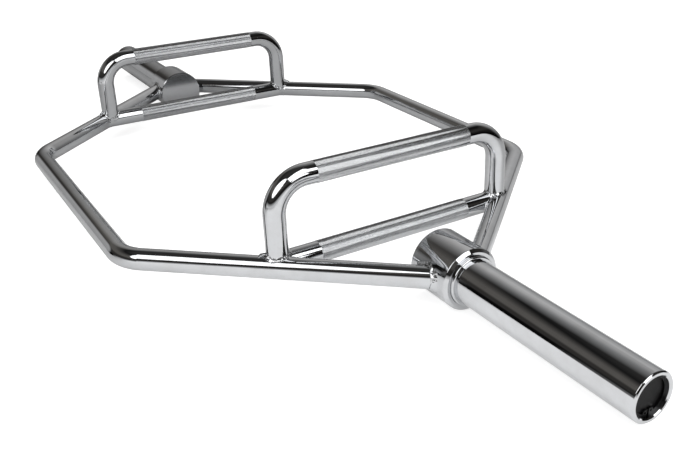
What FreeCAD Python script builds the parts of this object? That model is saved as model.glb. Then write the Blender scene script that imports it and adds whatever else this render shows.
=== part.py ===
"""Hex trap bar with turning sleeves, in millimetres.

+X runs along the sleeves, +Y across the hexagon, +Z up. The origin lies under the
middle of the bar, at the height of the lowest point of the two bosses.
"right" pieces lie on the +X side and "left" pieces on the -X side.
"""
import FreeCAD, Part
import math
import os

Vector = FreeCAD.Vector

# Round solid bar that the frame and all four handles are bent from.
bar_diameter = 25.0

# Hexagon, on the bar axes. The slanted sides would meet on the sleeve axis at the apex.
frame_half_side = 191.0
frame_half_width = 284.5
frame_apex = 448.0
frame_bend_radius = 50.0

# Handles. Both grips of a side stand at the same distance from the middle of the bar,
# with room for the fingers between the low grip and the back of the boss.
finger_room = 72.5
high_grip_rise = 96.5
low_grip_rise = 1.5
handle_bend_radius = 38.0
upright_inset = 10.5
upright_foot_level = 5.0

# Knurled zone of a grip, slightly proud of the plain bar.
knurl_length = 205.0
knurl_offset = 5.0
knurl_height = 0.3

# Boss: a short thick tube that the slanted sides are welded to, closed at its inner end.
boss_diameter = 70.0
boss_wall = 6.5
boss_length = 62.0
boss_overhang = 2.0
boss_edge_chamfer = 3.3
end_plate_thickness = 6.0
end_plate_chamfer = 1.0

# Spindle: the fixed shaft that the sleeve turns on, held by the end plate and a bulkhead.
spindle_diameter = 30.0
spindle_nose_diameter = 25.0
spindle_nose_overhang = 3.5
spindle_chamfer = 1.0
bulkhead_thickness = 14.0
bulkhead_depth = 4.0

# Sleeve: the turning tube that weight plates slide on, with a shoulder ring as their stop.
sleeve_diameter = 50.0
sleeve_wall = 6.0
sleeve_reach = 240.0
sleeve_rim_chamfer = 1.3
sleeve_mouth_chamfer = 1.1
shoulder_seat_depth = 1.0
shoulder_proud = 3.5
shoulder_edge_radius = 1.8

# Bearings and retainers inside the sleeve.
bush_length = 40.0
outer_bush_setback = 22.0
thrust_washer_thickness = 2.0
retaining_washer_thickness = 3.0
retaining_washer_margin = 1.0

# Snap rings: thickness, groove depth, band width, and the two lugs with plier holes.
snap_ring_thickness = 1.75
snap_groove_depth = 1.3
snap_band_width = 2.6
snap_gap_width = 2.2
snap_lug_width = 5.2
snap_lug_reach = 4.2
snap_hole_diameter = 2.2

# End cap: a plain disc set back from the sleeve's rim, with a spigot in the sleeve's bore.
cap_recess = 5.5
cap_thickness = 4.0
cap_seat_depth = 1.1
cap_spigot_length = 3.0
cap_edge_chamfer = 0.6

# Rounding left by buffing where a turned outside meets its chamfer.
buffed_edge_radius = 1.0

# Clearances: welded parts, pressed parts, running parts, and end play of a sleeve.
weld_gap = 0.1
press_clearance = 0.02
running_clearance = 0.05
seal_clearance = 0.3
end_play = 0.3

# Heights and stations that follow from the sizes above.
bar_radius = bar_diameter / 2
axis_height = boss_diameter / 2
high_grip_height = axis_height + high_grip_rise
low_grip_height = axis_height + low_grip_rise

boss_face = frame_apex + boss_overhang
boss_back = boss_face - boss_length
boss_bore_radius = boss_diameter / 2 - boss_wall
plate_face = boss_back + end_plate_thickness
bulkhead_face = boss_face - bulkhead_depth
handle_station = boss_back - finger_room - bar_radius
slope = frame_half_width / (frame_apex - frame_half_side)
bar_crossing = slope * (frame_apex - handle_station)
upright_station = bar_crossing - upright_inset

sleeve_start = bulkhead_face + thrust_washer_thickness + end_play
sleeve_end = boss_face + sleeve_reach
sleeve_radius = sleeve_diameter / 2
sleeve_bore_radius = sleeve_radius - sleeve_wall
shoulder_seat_radius = sleeve_radius - shoulder_seat_depth
shoulder_end = boss_face + shoulder_proud
spindle_radius = spindle_diameter / 2
nose_radius = spindle_nose_diameter / 2
outer_bush_end = sleeve_end - outer_bush_setback
washer_start = outer_bush_end + end_play
spindle_clip_start = washer_start + retaining_washer_thickness
spindle_end = spindle_clip_start + snap_ring_thickness + spindle_nose_overhang
cap_front = sleeve_end - cap_recess
cap_back = cap_front - cap_thickness
cap_seat_radius = sleeve_bore_radius + cap_seat_depth
cap_groove_radius = cap_seat_radius + snap_groove_depth
nose_groove_radius = nose_radius - snap_groove_depth


def bent_bar(corners, bend_radius, diameter):
    """Round bar along straight runs between corners, with a tangent bend at each inner corner."""
    edges = []
    run_start = corners[0]
    for before, corner, after in zip(corners, corners[1:], corners[2:]):
        back = (before - corner).normalize()
        ahead = (after - corner).normalize()
        half_angle = back.getAngle(ahead) / 2
        bend_start = corner + back * (bend_radius / math.tan(half_angle))
        bend_end = corner + ahead * (bend_radius / math.tan(half_angle))
        inward = (back + ahead).normalize()
        bend_middle = corner + inward * (bend_radius / math.sin(half_angle) - bend_radius)
        edges.append(Part.LineSegment(run_start, bend_start).toShape())
        edges.append(Part.Arc(bend_start, bend_middle, bend_end).toShape())
        run_start = bend_end
    edges.append(Part.LineSegment(run_start, corners[-1]).toShape())
    section = Part.Wire(Part.makeCircle(diameter / 2, corners[0], corners[1] - corners[0]))
    return Part.Wire(edges).makePipeShell([section], True, False)


def turned(profile):
    """Piece turned about the sleeve axis from a closed profile of (station, radius) points."""
    points = [Vector(station, 0, axis_height + radius) for station, radius in profile]
    face = Part.Face(Part.makePolygon(points + points[:1]))
    return face.revolve(Vector(0, 0, axis_height), Vector(1, 0, 0), 360)


def ring(start, end, inner_radius, outer_radius):
    """Plain turned ring between two stations of the sleeve axis."""
    return turned([(start, inner_radius), (end, inner_radius), (end, outer_radius), (start, outer_radius)])


def rim(shape, station, radius):
    """The circular edges of a turned piece at one station and radius."""
    edges = []
    for edge in shape.Edges:
        if not isinstance(edge.Curve, Part.Circle):
            continue
        same_station = abs(edge.Curve.Center.x - station) < press_clearance / 2
        same_radius = abs(edge.Curve.Radius - radius) < press_clearance / 2
        if same_station and same_radius:
            edges.append(edge)
    return edges


def buffed_rim(shape, station, radius, chamfer):
    """Chamfers the outer rim of a turned piece and rounds the edge that is left on its outside."""
    cut = shape.makeChamfer(chamfer, rim(shape, station, radius))
    return cut.makeFillet(buffed_edge_radius, rim(cut, station - chamfer, radius))


def grip_band(station, height):
    """Knurled zone of a grip as a thin raised band along Y."""
    start = Vector(station, knurl_offset - knurl_length / 2, height)
    return Part.makeCylinder(bar_radius + knurl_height, knurl_length, start, Vector(0, 1, 0))


def snap_ring(start, inner_radius, outer_radius, lug_side):
    """Open ring with two lugs beside its gap, at the bottom. lug_side is 1 outward, -1 inward."""
    centre = Vector(start, 0, axis_height)
    along = Vector(1, 0, 0)
    band = Part.makeCylinder(outer_radius, snap_ring_thickness, centre, along)
    band = band.cut(Part.makeCylinder(inner_radius, snap_ring_thickness, centre, along))
    band_middle = (inner_radius + outer_radius) / 2
    lug_tip = (outer_radius if lug_side > 0 else inner_radius) + lug_side * snap_lug_reach
    hole_centre = lug_tip - lug_side * snap_lug_width / 2
    lug_low = min(lug_tip, band_middle)
    lug_high = max(lug_tip, band_middle)
    whole_width = snap_gap_width + 2 * snap_lug_width
    corner = Vector(start, -whole_width / 2, axis_height - lug_high)
    lugs = Part.makeBox(snap_ring_thickness, whole_width, lug_high - lug_low, corner)
    corners = [edge for edge in lugs.Edges
               if abs(edge.Vertexes[0].Z - (axis_height - lug_tip)) < press_clearance
               and abs(edge.Vertexes[1].Z - (axis_height - lug_tip)) < press_clearance
               and abs(edge.Vertexes[0].X - edge.Vertexes[1].X) > press_clearance]
    lugs = lugs.makeFillet(snap_lug_width / 2, corners)
    clip = band.fuse(lugs)
    gap_corner = Vector(start, -snap_gap_width / 2, axis_height - 2 * outer_radius)
    clip = clip.cut(Part.makeBox(snap_ring_thickness, snap_gap_width, 2 * outer_radius, gap_corner))
    for side in (-1, 1):
        hole = Vector(start, side * (snap_gap_width + snap_lug_width) / 2, axis_height - hole_centre)
        clip = clip.cut(Part.makeCylinder(snap_hole_diameter / 2, snap_ring_thickness, hole, along))
    return clip.removeSplitter()


def frame_bar(side, extra_radius):
    """One half of the hexagon, from boss axis to boss axis. side is -1 front, 1 rear."""
    across = side * frame_half_width
    corners = [Vector(-frame_apex, 0, axis_height), Vector(-frame_half_side, across, axis_height),
               Vector(frame_half_side, across, axis_height), Vector(frame_apex, 0, axis_height)]
    return bent_bar(corners, frame_bend_radius, bar_diameter + 2 * extra_radius)


def low_grip(extra_radius):
    """Straight low grip of the right side, as long as the crossings with the frame bars."""
    half_length = bar_crossing + extra_radius
    start = Vector(handle_station, -half_length, low_grip_height)
    return Part.makeCylinder(bar_radius + extra_radius, 2 * half_length, start, Vector(0, 1, 0))


pieces = {}

# Frame: two bent bars, their ends coped to the round of the bosses.
boss_seat = Part.makeCylinder(boss_diameter / 2 + weld_gap, 2 * sleeve_end,
                              Vector(-sleeve_end, 0, axis_height), Vector(1, 0, 0))
pieces["front_frame_bar"] = frame_bar(-1, 0).cut(boss_seat)
pieces["rear_frame_bar"] = frame_bar(1, 0).cut(boss_seat)
frame_seat = frame_bar(-1, weld_gap).fuse(frame_bar(1, weld_gap))

right = {}

# Low handle: straight bar between the slanted sides, coped to them at both ends.
right["low_handle"] = low_grip(0).fuse(grip_band(handle_station, low_grip_height)).cut(frame_seat)

# High handle: bar bent to a bow, whose feet stand on the slanted side and the low handle.
foot_height = axis_height + upright_foot_level
bow = bent_bar([Vector(handle_station, -upright_station, foot_height),
                Vector(handle_station, -upright_station, high_grip_height),
                Vector(handle_station, upright_station, high_grip_height),
                Vector(handle_station, upright_station, foot_height)], handle_bend_radius, bar_diameter)
bow = bow.fuse(grip_band(handle_station, high_grip_height))
right["high_handle"] = bow.cut(frame_seat).cut(low_grip(weld_gap))

# Boss: thick tube with a chamfered mouth and a welded plate across its back.
boss_tube = ring(plate_face, boss_face, boss_bore_radius, boss_diameter / 2)
right["boss_tube"] = buffed_rim(boss_tube, boss_face, boss_diameter / 2, boss_edge_chamfer)
end_plate = turned([(boss_back, 0), (plate_face, 0), (plate_face, boss_diameter / 2),
                    (boss_back, boss_diameter / 2)])
plate_rim = rim(end_plate, boss_back, boss_diameter / 2)
right["boss_end_plate"] = end_plate.makeChamfer(end_plate_chamfer, plate_rim)

# Spindle with a stepped nose and a snap ring groove, and the bulkhead that holds it in the boss.
groove_end = spindle_clip_start + snap_ring_thickness
spindle = turned([(plate_face, 0), (spindle_end, 0), (spindle_end, nose_radius),
                  (groove_end, nose_radius), (groove_end, nose_groove_radius),
                  (spindle_clip_start, nose_groove_radius), (spindle_clip_start, nose_radius),
                  (washer_start, nose_radius), (washer_start, spindle_radius), (plate_face, spindle_radius)])
right["spindle"] = spindle.makeChamfer(spindle_chamfer, rim(spindle, spindle_end, nose_radius))
right["spindle_bulkhead"] = ring(bulkhead_face - bulkhead_thickness, bulkhead_face,
                                 spindle_radius + press_clearance, boss_bore_radius - press_clearance)
right["thrust_washer"] = ring(bulkhead_face, bulkhead_face + thrust_washer_thickness,
                              spindle_radius + running_clearance, shoulder_seat_radius)

# Sleeve tube: at its root a turned-down seat for the shoulder ring, at its mouth a seat and a
# groove for the cap and its snap ring, with a chamfer inside and outside its rim.
cap_groove_end = cap_front + snap_ring_thickness
sleeve_tube = turned([(sleeve_start, sleeve_bore_radius), (cap_back, sleeve_bore_radius),
                      (cap_back, cap_seat_radius), (cap_front, cap_seat_radius),
                      (cap_front, cap_groove_radius), (cap_groove_end, cap_groove_radius),
                      (cap_groove_end, cap_seat_radius), (sleeve_end, cap_seat_radius),
                      (sleeve_end, sleeve_radius), (shoulder_end, sleeve_radius),
                      (shoulder_end, shoulder_seat_radius), (sleeve_start, shoulder_seat_radius)])
sleeve_tube = buffed_rim(sleeve_tube, sleeve_end, sleeve_radius, sleeve_rim_chamfer)
sleeve_mouth = rim(sleeve_tube, sleeve_end, cap_seat_radius)
right["sleeve_tube"] = sleeve_tube.makeChamfer(sleeve_mouth_chamfer, sleeve_mouth)

# Shoulder ring pressed on its seat up to the step, standing out of the boss as the plate stop.
shoulder_radius = boss_bore_radius - seal_clearance
shoulder = ring(sleeve_start, shoulder_end, shoulder_seat_radius + press_clearance, shoulder_radius)
shoulder_rim = rim(shoulder, shoulder_end, shoulder_radius)
right["shoulder_ring"] = shoulder.makeFillet(shoulder_edge_radius, shoulder_rim)

# Bushes pressed in both ends of the sleeve's bore, running on the spindle.
bush_inner_radius = spindle_radius + running_clearance
bush_outer_radius = sleeve_bore_radius - press_clearance
right["inner_bush"] = ring(sleeve_start, sleeve_start + bush_length, bush_inner_radius, bush_outer_radius)
right["outer_bush"] = ring(outer_bush_end - bush_length, outer_bush_end, bush_inner_radius, bush_outer_radius)

# Washer and snap ring on the spindle's nose, which keep the sleeve on.
right["retaining_washer"] = ring(washer_start, spindle_clip_start, nose_radius + press_clearance,
                                 sleeve_bore_radius - retaining_washer_margin)
nose_clip_radius = nose_groove_radius + press_clearance
right["spindle_snap_ring"] = snap_ring(spindle_clip_start, nose_clip_radius,
                                       nose_clip_radius + snap_band_width, 1)

# End cap on its seat in the sleeve, and the snap ring that holds it there.
cap_radius = cap_seat_radius - press_clearance
spigot_radius = sleeve_bore_radius - press_clearance
end_cap = turned([(cap_back - cap_spigot_length, 0), (cap_front, 0), (cap_front, cap_radius),
                  (cap_back, cap_radius), (cap_back, spigot_radius),
                  (cap_back - cap_spigot_length, spigot_radius)])
right["end_cap"] = end_cap.makeChamfer(cap_edge_chamfer, rim(end_cap, cap_front, cap_radius))
cap_clip_radius = cap_groove_radius - press_clearance
right["cap_snap_ring"] = snap_ring(cap_front, cap_clip_radius - snap_band_width - snap_groove_depth,
                                   cap_clip_radius, -1)

# The left side mirrors the right one.
for name, shape in right.items():
    pieces["right_" + name] = shape
    pieces["left_" + name] = shape.mirror(Vector(0, 0, 0), Vector(1, 0, 0))

os.makedirs("parts", exist_ok=True)
for name, shape in pieces.items():
    shape.exportStep("parts/" + name + ".step")
    print(name, len(shape.Solids), "solid", round(shape.Volume / 1000, 2), "cm3", shape.isValid())
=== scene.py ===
import math

import bmesh
import bpy
from mathutils import Matrix, Vector, noise


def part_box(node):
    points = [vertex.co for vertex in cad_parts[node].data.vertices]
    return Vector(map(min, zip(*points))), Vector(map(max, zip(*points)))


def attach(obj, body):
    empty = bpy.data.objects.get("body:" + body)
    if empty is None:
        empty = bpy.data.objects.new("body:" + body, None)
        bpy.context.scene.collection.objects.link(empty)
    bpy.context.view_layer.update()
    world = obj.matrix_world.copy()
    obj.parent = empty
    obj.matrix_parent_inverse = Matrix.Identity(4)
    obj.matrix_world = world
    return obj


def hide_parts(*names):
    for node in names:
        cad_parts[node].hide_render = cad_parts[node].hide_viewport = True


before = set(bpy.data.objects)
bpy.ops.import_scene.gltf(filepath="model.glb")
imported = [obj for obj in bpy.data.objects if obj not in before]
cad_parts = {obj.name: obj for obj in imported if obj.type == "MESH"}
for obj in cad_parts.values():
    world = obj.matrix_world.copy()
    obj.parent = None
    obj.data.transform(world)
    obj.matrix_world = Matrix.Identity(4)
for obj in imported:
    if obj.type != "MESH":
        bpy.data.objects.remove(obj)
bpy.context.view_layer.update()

# Frame bars. Two round solid steel bars, each bent cold at two corners, make the hexagon.
# They are buffed along their length and chrome plated, and their ends are coped to the bosses.
front_low, front_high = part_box("front_frame_bar")
boss_low, boss_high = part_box("right_boss_tube")
bar_radius = (front_high.z - front_low.z) / 2
axis_height = (front_high.z + front_low.z) / 2
boss_radius = (boss_high.z - boss_low.z) / 2
frame_half_width = -front_low.y - bar_radius
frame_half_side = 0.191
frame_apex = 0.448
frame_bend_radius = 0.050
uncoped_share = 0.1
weld_gap = 0.0001
bar_sides = 96
bend_steps = 40
chrome_colour = (0.60, 0.61, 0.625, 1)
chrome_haze_colour = (0.55, 0.555, 0.565, 1)
haze_scale = 38.0
haze_span = (0.32, 0.6)
noise_span = (0.3, 0.7)
streaks_across = 7.0
streaks_along = 9.0
bar_roughness = (0.035, 0.075)
bar_relief = 0.00002


def add_node(tree, kind, inputs=None, **settings):
    """Adds a node with its settings. inputs gives a value or another node's output for each socket."""
    node = tree.nodes.new(kind)
    for name, value in settings.items():
        setattr(node, name, value)
    for key, value in (inputs or {}).items():
        if isinstance(value, bpy.types.NodeSocket):
            tree.links.new(value, node.inputs[key])
        else:
            node.inputs[key].default_value = value
    return node


def calculate(tree, operation, first, second=0.0):
    """Output of one math node."""
    return add_node(tree, "ShaderNodeMath", {0: first, 1: second}, operation=operation).outputs[0]


def ranged(tree, reading, span, levels):
    """Level that goes from the first to the second while a reading goes through a span."""
    node = add_node(tree, "ShaderNodeMapRange", {"Value": reading, "From Min": span[0], "From Max": span[1],
                                                 "To Min": levels[0], "To Max": levels[1]})
    return node.outputs["Result"]


def toned(tree, reading, span, dark, light):
    """Colour that goes from dark to light while a reading goes through a span."""
    ramp = add_node(tree, "ShaderNodeValToRGB", {"Fac": reading})
    for number, colour in enumerate((dark, light)):
        ramp.color_ramp.elements[number].position = span[number]
        ramp.color_ramp.elements[number].color = colour
    return ramp.outputs["Color"]


def speckle(tree, place, scale, detail, contrast=0.5, seed=None):
    """Noise over a surface. Each seed gives a pattern of its own."""
    inputs = {"Vector": place, "Scale": scale, "Detail": detail, "Roughness": contrast}
    if seed is None:
        return add_node(tree, "ShaderNodeTexNoise", inputs).outputs["Fac"]
    inputs["W"] = seed
    return add_node(tree, "ShaderNodeTexNoise", inputs, noise_dimensions="4D").outputs["Fac"]


def place_on_piece(tree):
    """Place on a piece, in metres from the origin of the frame."""
    return add_node(tree, "ShaderNodeTexCoord").outputs["Object"]


def new_material(name):
    """Empty node material with its shader, ready for colours and bumps."""
    material = bpy.data.materials.new(name)
    material.use_nodes = True
    return material, material.node_tree, material.node_tree.nodes["Principled BSDF"]


def lay_on(tree, shader, tone, gloss, relief=None, depth=0.0):
    """Leads the tone, the gloss and the relief of a finish to its shader. depth is that of the relief."""
    tree.links.new(tone, shader.inputs["Base Color"])
    tree.links.new(gloss, shader.inputs["Roughness"])
    if relief is not None:
        bump = add_node(tree, "ShaderNodeBump", {"Height": relief, "Strength": 1.0, "Distance": depth})
        tree.links.new(bump.outputs["Normal"], shader.inputs["Normal"])


def polished_chrome(name, pattern, roughness, bump_depth, seed):
    """Bright chrome over buffed steel, with a faint cloudy haze. pattern(tree) gives the place on the
    surface, drawn out along the buffing marks, which show as streaks in the gloss and the relief."""
    material, tree, shader = new_material(name)
    streaks = speckle(tree, pattern(tree), scale=1.0, detail=4.0, contrast=0.6, seed=seed)
    haze = speckle(tree, place_on_piece(tree), haze_scale, detail=5.0, contrast=0.65, seed=seed)
    tone = toned(tree, haze, haze_span, chrome_haze_colour, chrome_colour)
    lay_on(tree, shader, tone, ranged(tree, streaks, noise_span, roughness), streaks, bump_depth)
    shader.inputs["Metallic"].default_value = 1.0
    return material


def along_the_bar(tree):
    """Place on a bent bar: its two directions around the bar and, much shortened, the length along it."""
    around = add_node(tree, "ShaderNodeAttribute", attribute_name="around").outputs["Vector"]
    along = add_node(tree, "ShaderNodeAttribute", attribute_name="along").outputs["Fac"]
    parts = add_node(tree, "ShaderNodeSeparateXYZ", {"Vector": around})
    length = calculate(tree, "MULTIPLY", along, streaks_along)
    across = [calculate(tree, "MULTIPLY", parts.outputs[axis], streaks_across) for axis in (0, 1)]
    return add_node(tree, "ShaderNodeCombineXYZ", {0: across[0], 1: across[1], 2: length}).outputs[0]


def new_tree(name, inputs, output):
    """Empty geometry node tree. inputs gives the kind of each input, and output names what it makes."""
    tree = bpy.data.node_groups.new(name, "GeometryNodeTree")
    for socket, kind in inputs.items():
        tree.interface.new_socket(socket, in_out="INPUT", socket_type="NodeSocket" + kind)
    tree.interface.new_socket(output, in_out="OUTPUT", socket_type="NodeSocketGeometry")
    return tree


def reworked(tree, kind, geometry, inputs=None, **settings):
    """Output of a node that works on a geometry."""
    return add_node(tree, kind, {"Geometry": geometry, **(inputs or {})}, **settings).outputs[0]


def bent_bar_tree():
    """Node tree that bends a round bar along a line of corners."""
    tree = new_tree("bent_bar", {"Corners": "Geometry", "Bend Radius": "Float", "Bar Radius": "Float",
                                 "Bend Steps": "Int", "Sides": "Int", "Finish": "Material"}, "Bar")
    given = add_node(tree, "NodeGroupInput").outputs
    line = add_node(tree, "GeometryNodeMeshToCurve", {"Mesh": given["Corners"]}).outputs[0]
    bends = {"Curve": line, "Radius": given["Bend Radius"], "Count": given["Bend Steps"],
             "Limit Radius": True}
    bent = add_node(tree, "GeometryNodeFilletCurve", bends, mode="POLY").outputs[0]
    length = add_node(tree, "GeometryNodeSplineParameter").outputs["Length"]
    marked = reworked(tree, "GeometryNodeStoreNamedAttribute", bent, {"Name": "along", "Value": length},
                      data_type="FLOAT", domain="POINT")
    circle = {"Resolution": given["Sides"], "Radius": given["Bar Radius"]}
    section = add_node(tree, "GeometryNodeCurvePrimitiveCircle", circle).outputs[0]
    spot = add_node(tree, "GeometryNodeInputPosition").outputs[0]
    side = add_node(tree, "ShaderNodeVectorMath", {0: spot}, operation="NORMALIZE").outputs["Vector"]
    faced = reworked(tree, "GeometryNodeStoreNamedAttribute", section, {"Name": "around", "Value": side},
                     data_type="FLOAT_VECTOR", domain="POINT")
    swept = add_node(tree, "GeometryNodeCurveToMesh", {"Curve": marked, "Profile Curve": faced}).outputs[0]
    smooth = reworked(tree, "GeometryNodeSetShadeSmooth", swept)
    real = reworked(tree, "GeometryNodeRealizeInstances", smooth)
    dressed = reworked(tree, "GeometryNodeSetMaterial", real, {"Material": given["Finish"]})
    add_node(tree, "NodeGroupOutput", {"Bar": dressed})
    return tree


def put_in_scene(name, data):
    """New object in the scene, at the origin."""
    thing = bpy.data.objects.new(name, data)
    bpy.context.scene.collection.objects.link(thing)
    return thing


def grown(name, points, tree, values):
    """Plain mesh object that a node tree makes from a line of points."""
    line = bpy.data.meshes.new(name + "_line")
    steps = [(start, start + 1) for start in range(len(points) - 1)]
    line.from_pydata([tuple(point) for point in points], steps, [])
    source = put_in_scene(name + "_line", line)
    modifier = source.modifiers.new(tree.name, "NODES")
    modifier.node_group = tree
    for socket in tree.interface.items_tree:
        if socket.in_out == "INPUT" and socket.name in values:
            modifier[socket.identifier] = values[socket.name]
    depsgraph = bpy.context.evaluated_depsgraph_get()
    mesh = bpy.data.meshes.new_from_object(source.evaluated_get(depsgraph), depsgraph=depsgraph)
    bpy.data.objects.remove(source)
    mesh.name = name
    return put_in_scene(name, mesh)


bar_tree = bent_bar_tree()


def bent_bar(name, corners, bend_radius, finish, cope):
    """Round bar along its corners. cope(point) moves a point of an end to what that end is welded to."""
    values = {"Bend Radius": bend_radius, "Bar Radius": bar_radius, "Bend Steps": bend_steps,
              "Sides": bar_sides, "Finish": finish}
    piece = grown(name, corners, bar_tree, values)
    shape = bmesh.new()
    shape.from_mesh(piece.data)
    ends = [edge for edge in shape.edges if edge.is_boundary]
    for vertex in {vertex for edge in ends for vertex in edge.verts}:
        vertex.co = cope(vertex.co)
    caps = bmesh.ops.holes_fill(shape, edges=ends, sides=0)["faces"]
    for edge in ends:
        edge.smooth = False
    bmesh.ops.poke(shape, faces=caps)
    bmesh.ops.recalc_face_normals(shape, faces=shape.faces)
    shape.to_mesh(piece.data)
    shape.free()
    return piece


def cope_to_boss(point):
    """Slides a point at the end of a slanted side along that side, up to the round of the boss."""
    reach = boss_radius + weld_gap
    across = math.copysign(math.sqrt(reach ** 2 - (point.z - axis_height) ** 2), point.y)
    run = (frame_apex - frame_half_side) / frame_half_width
    return Vector((point.x - math.copysign((abs(across) - abs(point.y)) * run, point.x), across, point.z))


frame_chrome = polished_chrome("frame_chrome", along_the_bar, bar_roughness, bar_relief, seed=1.0)
bar_end = Vector((frame_apex, 0, 0)).lerp(Vector((frame_half_side, frame_half_width, 0)), uncoped_share)
for node_name, side in (("front_frame_bar", -1), ("rear_frame_bar", 1)):
    corners = [Vector((-bar_end.x, side * bar_end.y, axis_height)),
               Vector((-frame_half_side, side * frame_half_width, axis_height)),
               Vector((frame_half_side, side * frame_half_width, axis_height)),
               Vector((bar_end.x, side * bar_end.y, axis_height))]
    bar = bent_bar(node_name + "_bent", corners, frame_bend_radius, frame_chrome, cope_to_boss)
    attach(bar, "frame")
    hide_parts(node_name)

# Handles. On each side a straight low grip runs between the slanted sides, and a high grip is bent
# to a bow whose feet stand on the low grip and the slanted side. Same bar and plating as the frame.
high_handle_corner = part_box("right_high_handle")[1]
low_low, low_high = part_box("right_low_handle")
handle_station = (low_low.x + low_high.x) / 2
low_grip_height = (low_low.z + low_high.z) / 2
knurl_radius = (low_high.z - low_low.z) / 2
high_grip_height = high_handle_corner.z - knurl_radius
upright_station = high_handle_corner.y - bar_radius
handle_bend_radius = 0.038
foot_level = 0.040
slant_length = math.hypot(frame_apex - frame_half_side, frame_half_width)


def beside_the_slant(x, y):
    """Distance in plan of a point from the axis of the nearest slanted side, positive outside."""
    inward = (abs(x) - frame_apex) * frame_half_width
    return (inward + abs(y) * (frame_apex - frame_half_side)) / slant_length


def bar_top(x, y, lowest=foot_level):
    """Height of the metal under the foot of a high grip: the slanted side or the low grip."""
    heights = [lowest]
    beside_the_grip = abs(x) - handle_station
    for level, offset in ((axis_height, beside_the_slant(x, y)), (low_grip_height, beside_the_grip)):
        if abs(offset) < bar_radius:
            heights.append(level + math.sqrt(bar_radius ** 2 - offset ** 2))
    return max(heights)


def low_grip_end(x, z):
    """Distance from the middle at which a line along the low grip's surface meets the slanted side."""
    height = min(abs(z - axis_height), bar_radius)
    inside = -math.sqrt(bar_radius ** 2 - height ** 2)
    run = inside * slant_length - (abs(x) - frame_apex) * frame_half_width
    return run / (frame_apex - frame_half_side)


def cope_to_foot(point):
    """Moves a point at the foot of a high grip up or down to the metal that it stands on."""
    return Vector((point.x, point.y, bar_top(point.x, point.y) + weld_gap))


def cope_to_slant(point):
    """Moves a point at the end of a low grip along the grip to the slanted side."""
    return Vector((point.x, math.copysign(low_grip_end(point.x, point.z) - weld_gap, point.y), point.z))


handle_chrome = polished_chrome("handle_chrome", along_the_bar, bar_roughness, bar_relief, seed=2.0)
for name, sign in (("right", 1), ("left", -1)):
    x = sign * handle_station
    bow = [Vector((x, -upright_station, foot_level)), Vector((x, -upright_station, high_grip_height)),
           Vector((x, upright_station, high_grip_height)), Vector((x, upright_station, foot_level))]
    high_handle = bent_bar(name + "_high_handle_bow", bow, handle_bend_radius, handle_chrome, cope_to_foot)
    grip = [Vector((x, -upright_station, low_grip_height)), Vector((x, upright_station, low_grip_height))]
    low_handle = bent_bar(name + "_low_handle_bar", grip, handle_bend_radius, handle_chrome, cope_to_slant)
    for handle, node_name in ((high_handle, name + "_high_handle"), (low_handle, name + "_low_handle")):
        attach(handle, "frame")
        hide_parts(node_name)

# Knurled zones. Two sets of crossing grooves are rolled into the middle of each grip, which leaves
# rows of small diamonds that stand a little proud of the plain bar. Their plating is dull in spots.
knurl_length = 0.202
diamond_width = 0.00156
diamond_length = 0.00083
diamond_sink = 0.00002
knurl_colour = (0.60, 0.61, 0.62, 1)
knurl_dull_colour = (0.42, 0.425, 0.435, 1)
knurl_grain_scale = 900.0
knurl_tone_span = (0.28, 0.62)
knurl_roughness = (0.05, 0.10)


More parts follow.
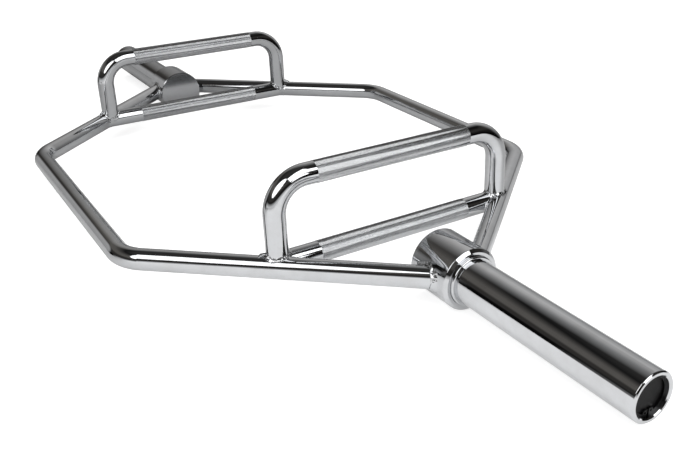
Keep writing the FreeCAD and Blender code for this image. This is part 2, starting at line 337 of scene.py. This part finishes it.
def knurl_tree():
    """Node tree that sets pointed diamonds in staggered rows around a round bar along Y."""
    tree = new_tree("knurl", {"Middle": "Geometry", "Root Radius": "Float", "Top Radius": "Float",
                              "Diamond Width": "Float", "Diamond Length": "Float", "Diamonds Around": "Int",
                              "Rows": "Int", "Finish": "Material"}, "Knurl")
    given = add_node(tree, "NodeGroupInput").outputs
    count = calculate(tree, "MULTIPLY", given["Diamonds Around"], given["Rows"])
    number = add_node(tree, "GeometryNodeInputIndex").outputs[0]
    row = calculate(tree, "FLOOR", calculate(tree, "DIVIDE", number, given["Diamonds Around"]))
    column = calculate(tree, "MODULO", number, given["Diamonds Around"])
    stagger = calculate(tree, "MULTIPLY", calculate(tree, "MODULO", row, 2.0), 0.5)
    step = calculate(tree, "DIVIDE", math.tau, given["Diamonds Around"])
    turn = calculate(tree, "MULTIPLY", calculate(tree, "ADD", column, stagger), step)
    centred = calculate(tree, "SUBTRACT", row, calculate(tree, "MULTIPLY", given["Rows"], 0.5))
    reach = calculate(tree, "MULTIPLY", centred, calculate(tree, "MULTIPLY", given["Diamond Length"], 0.5))
    spread = [calculate(tree, "MULTIPLY", calculate(tree, wave, turn), given["Root Radius"])
              for wave in ("SINE", "COSINE")]
    place = add_node(tree, "ShaderNodeCombineXYZ", {"X": spread[0], "Y": reach, "Z": spread[1]}).outputs[0]
    points = add_node(tree, "GeometryNodePoints", {"Count": count, "Position": place}).outputs[0]
    height = calculate(tree, "SUBTRACT", given["Top Radius"], given["Root Radius"])
    pyramid = {"Vertices": 4, "Radius Top": 0.0, "Radius Bottom": 1.0, "Depth": height}
    stud = add_node(tree, "GeometryNodeMeshCone", pyramid, fill_type="NGON").outputs["Mesh"]
    half = [calculate(tree, "MULTIPLY", given[name], 0.5) for name in ("Diamond Width", "Diamond Length")]
    size = add_node(tree, "ShaderNodeCombineXYZ", {"X": half[0], "Y": half[1], "Z": 1.0}).outputs[0]
    diamond = reworked(tree, "GeometryNodeTransform", stud, {"Scale": size})
    facing = add_node(tree, "ShaderNodeCombineXYZ", {"Y": turn}).outputs[0]
    rows = add_node(tree, "GeometryNodeInstanceOnPoints", {"Points": points, "Rotation": facing,
                                                           "Instance": diamond}).outputs[0]
    real = reworked(tree, "GeometryNodeRealizeInstances", rows)
    middle = add_node(tree, "GeometryNodeInputPosition").outputs[0]
    seat = reworked(tree, "GeometryNodeSampleIndex", given["Middle"], {"Value": middle, "Index": 0},
                    data_type="FLOAT_VECTOR")
    set_in = reworked(tree, "GeometryNodeTransform", real, {"Translation": seat})
    flat = reworked(tree, "GeometryNodeSetShadeSmooth", set_in, {"Shade Smooth": False})
    dressed = reworked(tree, "GeometryNodeSetMaterial", flat, {"Material": given["Finish"]})
    add_node(tree, "NodeGroupOutput", {"Knurl": dressed})
    return tree


def knurl_finish():
    """Satin chrome: the rolled diamonds keep a soft grain, brighter and duller from spot to spot."""
    material, tree, shader = new_material("knurl_chrome")
    grain = speckle(tree, place_on_piece(tree), knurl_grain_scale, detail=3.0, contrast=0.7)
    tone = toned(tree, grain, knurl_tone_span, knurl_dull_colour, knurl_colour)
    lay_on(tree, shader, tone, ranged(tree, grain, noise_span, knurl_roughness))
    shader.inputs["Metallic"].default_value = 1.0
    return material


grip_tree = knurl_tree()
knurl_values = {"Root Radius": bar_radius - diamond_sink, "Top Radius": knurl_radius,
                "Diamond Width": diamond_width, "Diamond Length": diamond_length,
                "Diamonds Around": round(math.tau * bar_radius / diamond_width),
                "Rows": round(knurl_length / (diamond_length / 2)), "Finish": knurl_finish()}
for name, sign in (("right", 1), ("left", -1)):
    for level, height in (("high", high_grip_height), ("low", low_grip_height)):
        middle = Vector((sign * handle_station, 0, height))
        knurl = grown(name + "_" + level + "_knurl", [middle], grip_tree, knurl_values)
        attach(knurl, "frame")

# Welds. The bars, grips and bosses are joined by hand-laid fillet welds, plated over with the rest.
# Each runs once round the end of the bar that it holds: hollow in section, rippled, uneven and shiny.
foot_weld_leg = 0.0038
low_grip_weld_leg = 0.0034
boss_weld_leg = 0.0046

# The section is a power curve from toe to toe, and the toes are sunk a little into the bar and its seat.
# Ripples follow the run of the weld. Lumps and swells are noise, each with its strength and its size.
weld_hollow = 1.8
weld_sink = 0.00012
weld_root = 0.001
weld_ripple = 0.0024
weld_ripple_depth = 0.00025
weld_lump_depth = 0.0011
weld_lump_size = 0.0032
weld_swell = 0.35
weld_swell_size = 0.007
weld_points = 216
weld_section_steps = 8
weld_grain_scale = 420.0

# The slope of a seat is read this far inside the seam. Past the edge of a seat it falls away steeply.
seat_step = 0.0005
seat_fall = 5.0
round_the_bar = [math.tau * step / weld_points for step in range(weld_points)]


def foot_seam(end, side, reach):
    """Line round the foot of a high grip, on the metal that it stands on."""
    plan = [(end * handle_station + reach * math.cos(turn), side * upright_station + reach * math.sin(turn))
            for turn in round_the_bar]
    lowest = foot_level - seat_fall * (reach - bar_radius)
    return [Vector((x, y, bar_top(x, y, lowest))) for x, y in plan]


def low_grip_seam(end, side, reach):
    """Line round the end of a low grip, on the slanted side."""
    section = [(end * handle_station + reach * math.cos(turn), low_grip_height + reach * math.sin(turn))
               for turn in round_the_bar]
    return [Vector((x, side * low_grip_end(x, z), z)) for x, z in section]


def slant_way(end, side):
    """Direction along a slanted side, towards its boss."""
    return Vector((end * (frame_apex - frame_half_side), -side * frame_half_width, 0)).normalized()


def boss_seam(end, side, reach):
    """Line round the end of a slanted side, on the round of the boss."""
    slant = slant_way(end, side)
    across = Vector((slant.y, -slant.x, 0))
    seam = []
    for turn in round_the_bar:
        start = Vector((end * frame_apex, 0, axis_height)) + across * reach * math.cos(turn)
        height = reach * math.sin(turn)
        depth = side * math.sqrt(boss_radius ** 2 - height ** 2)
        seam.append(start + slant * ((depth - start.y) / slant.y) + Vector((0, 0, height)))
    return seam


def on_the_weld(tree):
    """Place on a weld, without a direction: welds have no buffing marks."""
    inputs = {0: place_on_piece(tree), 3: weld_grain_scale}
    return add_node(tree, "ShaderNodeVectorMath", inputs, operation="SCALE").outputs["Vector"]


def fillet_weld(name, corners, inner, along, leg, finish):
    """Ring of weld metal in the corner between a bar, which leads away along a direction, and its seat.
    inner is the same line a step further in, and the two lines together give the slope of the seat."""
    points = []
    ring = weld_section_steps + 2
    run = 0.0
    for number, corner in enumerate(corners):
        seat_way = (corner - inner[number]).normalized()
        outward = (seat_way - along * seat_way.dot(along)).normalized()
        facing = (outward + along).normalized()
        run += (corner - corners[number - 1]).length
        ripple = weld_ripple_depth * abs(math.sin(math.pi * run / weld_ripple))
        reach = leg * (1 + weld_swell * noise.noise(corner / weld_swell_size))
        for step in range(weld_section_steps + 1):
            share = step / weld_section_steps
            place = corner + reach * ((1 - share) ** weld_hollow * seat_way + share ** weld_hollow * along)
            lump = weld_lump_depth * noise.noise(place / weld_lump_size)
            rise = (ripple + lump) * math.sin(math.pi * share)
            points.append(place + facing * (rise - weld_sink))
        points.append(corner - outward * weld_root)
    faces = []
    for turn in range(weld_points):
        here = turn * ring
        after = (turn + 1) % weld_points * ring
        for step in range(ring):
            beside = (step + 1) % ring
            faces.append((here + step, here + beside, after + beside, after + step))
    mesh = bpy.data.meshes.new(name)
    mesh.from_pydata([tuple(point) for point in points], [], faces)
    mesh.materials.append(finish)
    shape = bmesh.new()
    shape.from_mesh(mesh)
    bmesh.ops.recalc_face_normals(shape, faces=shape.faces)
    shape.to_mesh(mesh)
    shape.free()
    mesh.shade_smooth()
    return put_in_scene(name, mesh)


weld_chrome = polished_chrome("weld_chrome", on_the_weld, roughness=(0.06, 0.16), bump_depth=0.00016,
                              seed=3.0)
for name, end in (("right", 1), ("left", -1)):
    for place, side in (("front", -1), ("rear", 1)):
        for joint, seam, along, leg in (
                ("foot", foot_seam, Vector((0, 0, 1)), foot_weld_leg),
                ("low_grip", low_grip_seam, Vector((0, -side, 0)), low_grip_weld_leg),
                ("boss", boss_seam, -slant_way(end, side), boss_weld_leg)):
            weld = fillet_weld(f"{name}_{place}_{joint}_weld", seam(end, side, bar_radius),
                               seam(end, side, bar_radius - seat_step), along, leg, weld_chrome)
            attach(weld, "frame")

# Bosses. Each is a short thick tube, turned and chromed, with a plate welded over its inner end.
# The buffing wheel leaves its faint marks around the tube.
turned_marks = (700.0, 30.0, 30.0)


def around_the_axis(tree):
    """Place on a turned piece, drawn out around the sleeve axis."""
    from_the_axis = {0: place_on_piece(tree), 1: (0, 0, axis_height)}
    centred = add_node(tree, "ShaderNodeVectorMath", from_the_axis, operation="SUBTRACT").outputs[0]
    stretched = {0: centred, 1: turned_marks}
    return add_node(tree, "ShaderNodeVectorMath", stretched, operation="MULTIPLY").outputs[0]


def dress(node_name, finish):
    """Gives a CAD node its finish."""
    for material_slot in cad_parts[node_name].material_slots:
        material_slot.material = finish


boss_chrome = polished_chrome("boss_chrome", around_the_axis, roughness=(0.03, 0.065), bump_depth=0.000004,
                              seed=4.0)
plate_chrome = polished_chrome("plate_chrome", around_the_axis, roughness=(0.12, 0.16), bump_depth=0.000001,
                               seed=6.0)
for name in ("right", "left"):
    dress(name + "_boss_tube", boss_chrome)
    dress(name + "_boss_end_plate", plate_chrome)

# Spindles, bulkheads and retainers. Plain turned steel, oiled, hidden in the boss and the sleeve.
# The bulkhead and the end plate hold the spindle, and a washer and a snap ring keep the sleeve on it.
steel_colour = (0.42, 0.425, 0.43, 1)
steel_dark_colour = (0.30, 0.30, 0.305, 1)
lathe_ring_scale = 4.0
full_span = (0.0, 1.0)


def turned_metal(name, dark, light, roughness):
    """Metal straight from the lathe: fine rings around the axis in tone and gloss."""
    material, tree, shader = new_material(name)
    rings = speckle(tree, around_the_axis(tree), lathe_ring_scale, detail=3.0)
    tone = toned(tree, rings, noise_span, dark, light)
    lay_on(tree, shader, tone, ranged(tree, rings, full_span, roughness))
    shader.inputs["Metallic"].default_value = 1.0
    return material


inner_steel = turned_metal("inner_steel", steel_dark_colour, steel_colour, roughness=(0.25, 0.4))
for name in ("right", "left"):
    for piece in ("spindle", "spindle_bulkhead", "retaining_washer"):
        dress(f"{name}_{piece}", inner_steel)

# Bushes and thrust washers. Sintered bronze rings, turned to size. The sleeve turns on two bushes
# pressed in near its ends, and the washer lies between the sleeve and the bulkhead of the boss.
bronze_colour = (0.52, 0.34, 0.16, 1)
bronze_dark_colour = (0.36, 0.22, 0.10, 1)
bush_bronze = turned_metal("bush_bronze", bronze_dark_colour, bronze_colour, roughness=(0.35, 0.5))
for name in ("right", "left"):
    for piece in ("thrust_washer", "inner_bush", "outer_bush"):
        dress(f"{name}_{piece}", bush_bronze)

# Sleeves. The chromed tubes that weight plates slide on, each with a chamfered rim and a pressed-on
# shoulder ring as the stop for the plates. They are the brightest pieces of the bar.
sleeve_chrome = polished_chrome("sleeve_chrome", around_the_axis, roughness=(0.02, 0.05), bump_depth=0.000003,
                                seed=5.0)
for name in ("right", "left"):
    dress(name + "_sleeve_tube", sleeve_chrome)
    dress(name + "_shoulder_ring", sleeve_chrome)

# End caps and their snap rings. A black disc closes the bearing, set back from the rim of the sleeve,
# and a black oxide spring ring with two plier holes holds it there. The spindle's ring is the same black.
cap_colour = (0.0015, 0.0015, 0.0017, 1)
cap_light_colour = (0.004, 0.004, 0.0043, 1)
cap_tone_span = (0.35, 0.65)
cap_specular = 0.12


def black_finish(name, grain_size, roughness, bump_depth):
    """Satin black with a fine grain."""
    material, tree, shader = new_material(name)
    grain = speckle(tree, place_on_piece(tree), 1 / grain_size, detail=3.0)
    tone = toned(tree, grain, cap_tone_span, cap_colour, cap_light_colour)
    lay_on(tree, shader, tone, ranged(tree, grain, full_span, roughness), grain, bump_depth)
    shader.inputs["Specular IOR Level"].default_value = cap_specular
    return material


cap_black = black_finish("cap_black", grain_size=0.0007, roughness=(0.38, 0.5), bump_depth=0.00003)
snap_ring_black = black_finish("snap_ring_black", grain_size=0.0015, roughness=(0.28, 0.42),
                               bump_depth=0.00002)
for name in ("right", "left"):
    dress(name + "_end_cap", cap_black)
    dress(name + "_cap_snap_ring", snap_ring_black)
    dress(name + "_spindle_snap_ring", snap_ring_black)

# Studio. The bar lies on white paper in a dim room with a pale wall behind it. A round soft lamp stands
# in front of it, a large square one and a low card stand beyond the end of the right sleeve, and a wide
# lamp hangs overhead, where the chrome doesn't mirror it.
floor_reach = 30.0
floor_colour = (0.50, 0.50, 0.50, 1)
paper_outline = ((-4.0, 4.0), (-4.0, -0.8), (0.0, -0.8), (-0.7, -3.0), (2.4, -3.0), (1.2, 4.0))
paper_level = 0.0002
paper_roughness = 0.9
lamp_target = Vector((0.15, -0.10, 0.10))


def flat_sheet(name, corners, finish):
    """Flat stage sheet from its corners."""
    mesh = bpy.data.meshes.new(name)
    mesh.from_pydata(corners, [], [tuple(range(len(corners)))])
    mesh.materials.append(finish)
    sheet = put_in_scene(name, mesh)
    return sheet


def white_paper(name, reading, span, levels):
    """White paper with a glow of its own, which goes from one level to another over a span of a reading."""
    material, tree, shader = new_material(name)
    glow = ranged(tree, reading(tree, place_on_piece(tree)), span, levels)
    tree.links.new(glow, shader.inputs["Emission Strength"])
    shader.inputs["Emission Color"].default_value = (1, 1, 1, 1)
    shader.inputs["Roughness"].default_value = paper_roughness
    shader.inputs["Specular IOR Level"].default_value = 0.0
    return material, tree, shader


def from_the_middle(tree, spot):
    """Distance from the middle of the bar."""
    return add_node(tree, "ShaderNodeVectorMath", {0: spot}, operation="LENGTH").outputs["Value"]


def along_the_sleeves(tree, spot):
    """Place along the sleeve axis."""
    return add_node(tree, "ShaderNodeSeparateXYZ", {"Vector": spot}).outputs["X"]


def short_of_the_back(tree, spot):
    """Place along the sleeve axis, less the distance behind that axis."""
    place = add_node(tree, "ShaderNodeSeparateXYZ", {"Vector": spot}).outputs
    return calculate(tree, "SUBTRACT", place["X"], calculate(tree, "MAXIMUM", place["Y"], 0.0))


floor_white, tree, shader = white_paper("floor_white", from_the_middle, span=(0.8, 3.0), levels=(0.78, 1.0))
shader.inputs["Base Color"].default_value = floor_colour
floor = flat_sheet("floor", [(-floor_reach, -floor_reach, 0), (floor_reach, -floor_reach, 0),
                             (floor_reach, floor_reach, 0), (-floor_reach, floor_reach, 0)], floor_white)
floor.visible_glossy = False

# The paper as the chrome mirrors it, unseen by the camera. It is no lamp, but glows with a painted pool of
# light at the near end that fades towards the back, and its colour is painted darker towards the far sleeve
# as painted shade.
mirrored_painted_light, tree, shader = white_paper("mirrored_painted_light", short_of_the_back, span=(0.10, 0.28),
                                           levels=(0.0, 0.40))
# Painted shade: the paper's colour goes darker towards the far sleeve, standing in for the light falling off
# there.
shade = ranged(tree, along_the_sleeves(tree, place_on_piece(tree)), span=(-0.45, -0.20), levels=(0.44, 0.56))
tree.links.new(shade, shader.inputs["Base Color"])
paper = flat_sheet("mirrored_paper", [(x, y, paper_level) for x, y in paper_outline], mirrored_painted_light)
paper.visible_camera = False
paper.visible_diffuse = False
paper.visible_shadow = False


def soft_lamp(name, place, size, tilt, glow, shape="RECTANGLE"):
    """Flat lamp that faces the bar, turned about its own aim by tilt. glow is its brightness."""
    lamp = bpy.data.lights.new(name, "AREA")
    lamp.shape = shape
    lamp.size, lamp.size_y = size
    filled = math.pi / 4 if shape == "ELLIPSE" else 1.0
    lamp.energy = glow * math.pi * size[0] * size[1] * filled
    away = Vector(place) - lamp_target
    facing = away.to_track_quat("Z", "Y").to_matrix() @ Matrix.Rotation(tilt, 3, "Z")
    holder = put_in_scene(name, lamp)
    holder.location = place
    holder.rotation_euler = facing.to_euler()
    holder.visible_camera = False
    return holder


soft_lamp("left_lamp", (0.575, -0.911, 0.852), size=(1.0, 0.86), tilt=0.547, glow=2.2, shape="ELLIPSE")
soft_lamp("right_lamp", (1.47, 0.107, 1.60), size=(1.43, 1.34), tilt=0.289, glow=2.8)
soft_lamp("low_card", (1.655, 0.195, 0.706), size=(0.62, 0.34), tilt=0.0, glow=2.5)
overhead = soft_lamp("overhead_lamp", (0.15, -0.10, 2.6), size=(4.0, 4.0), tilt=0.0, glow=1.4)
overhead.visible_glossy = False

# The room as the chrome mirrors it: dim and warm on the left, nearly black low down, with glows where
# the wall stands behind the bar, on the far left and low in front. The camera sees plain white.
room_low_colour = (0.004, 0.004, 0.004, 1)
room_top_colour = (0.05, 0.049, 0.047, 1)
room_colours = ((8, (0.005, 0.005, 0.005)), (11, (0.04, 0.038, 0.036)), (20, (0.045, 0.042, 0.039)),
                (26, (0.135, 0.127, 0.117)), (36, (0.13, 0.122, 0.113)), (43, (0.07, 0.066, 0.062)),
                (50, (0.012, 0.012, 0.012)), (60, (0.035, 0.034, 0.033)))
low_glow_top = math.radians(8)


def aim(azimuth, elevation):
    """Unit vector towards a direction given in degrees."""
    across = math.cos(math.radians(elevation))
    return (across * math.cos(math.radians(azimuth)), across * math.sin(math.radians(azimuth)),
            math.sin(math.radians(elevation)))


def fade(tree, way, centre, span, levels):
    """Level that goes from the first to the second over a span of the angle from a centre, in degrees."""
    facing = add_node(tree, "ShaderNodeVectorMath", {0: way, 1: aim(*centre)}, operation="DOT_PRODUCT")
    angle = calculate(tree, "ARCCOSINE", facing.outputs["Value"])
    return ranged(tree, angle, [math.radians(end) for end in span], levels)


world = bpy.data.worlds.new("studio_room")
world.use_nodes = True
room = world.node_tree
way = add_node(room, "ShaderNodeTexCoord").outputs["Generated"]
rise = calculate(room, "ARCSINE", add_node(room, "ShaderNodeSeparateXYZ", {"Vector": way}).outputs["Z"])
room_ramp = add_node(room, "ShaderNodeValToRGB", {"Fac": calculate(room, "DIVIDE", rise, math.pi / 2)})
room_ramp.color_ramp.elements[0].color = room_low_colour
room_ramp.color_ramp.elements[1].color = room_top_colour
for degrees, colour in room_colours:
    stop = room_ramp.color_ramp.elements.new(degrees / 90)
    stop.color = (*colour, 1)
left_share = fade(room, way, centre=(-140, 20), span=(70, 120), levels=(1.0, 0.3))
wall_glow = fade(room, way, centre=(140, 27), span=(5, 44), levels=(0.50, 0.0))
far_wall_glow = fade(room, way, centre=(106, 13), span=(6, 32), levels=(0.27, 0.0))
side_glow = fade(room, way, centre=(-152, 5), span=(12, 19), levels=(0.42, 0.0))
front_glow = fade(room, way, centre=(-52, 0), span=(56, 74), levels=(0.8, 0.0))
low_share = ranged(room, rise, span=(0.0, low_glow_top), levels=(1.0, 0.0))
glow = calculate(room, "MULTIPLY", front_glow, low_share)
for more in (wall_glow, far_wall_glow, side_glow):
    glow = calculate(room, "ADD", glow, more)
scaled = {0: room_ramp.outputs["Color"], 3: left_share}
dim = add_node(room, "ShaderNodeVectorMath", scaled, operation="SCALE").outputs["Vector"]
grey = add_node(room, "ShaderNodeCombineXYZ", {0: glow, 1: glow, 2: glow}).outputs[0]
both = add_node(room, "ShaderNodeVectorMath", {0: dim, 1: grey}, operation="ADD").outputs["Vector"]
room_light = room.nodes["Background"]
room.links.new(both, room_light.inputs["Color"])
pale = add_node(room, "ShaderNodeBackground", {"Color": (1, 1, 1, 1)})
seen = add_node(room, "ShaderNodeLightPath").outputs["Is Camera Ray"]
either = add_node(room, "ShaderNodeMixShader", {0: seen, 1: room_light.outputs[0], 2: pale.outputs[0]})
room.links.new(either.outputs[0], room.nodes["World Output"].inputs["Surface"])
bpy.context.scene.world = world
bpy.context.scene.view_settings.view_transform = "Standard"

# Camera. The photo's view: close to the right sleeve, from its front and above, with the far sleeve small.
# Its place, its aim and its lens were solved from the outlines of the bars in the photo.
picture_width = 696
picture_height = 464
focal_pixels = 845.67
optical_axis = (395.66, 215.42)
camera_place = (1.0487, -0.4862, 0.4648)
camera_azimuth = math.radians(56.76)
camera_elevation = math.radians(24.78)
camera_roll = math.radians(-0.712)
nearest_seen = 0.01
lens = bpy.data.cameras.new("camera")
lens.lens = focal_pixels * lens.sensor_width / picture_width
lens.shift_x = (picture_width / 2 - optical_axis[0]) / picture_width
lens.shift_y = (optical_axis[1] - picture_height / 2) / picture_width
lens.clip_start = nearest_seen
camera = put_in_scene("camera", lens)
camera.location = camera_place
swing = Matrix.Rotation(camera_azimuth, 3, "Z") @ Matrix.Rotation(math.pi / 2 - camera_elevation, 3, "X")
camera.rotation_euler = (swing @ Matrix.Rotation(camera_roll, 3, "Z")).to_euler()
bpy.context.scene.camera = camera
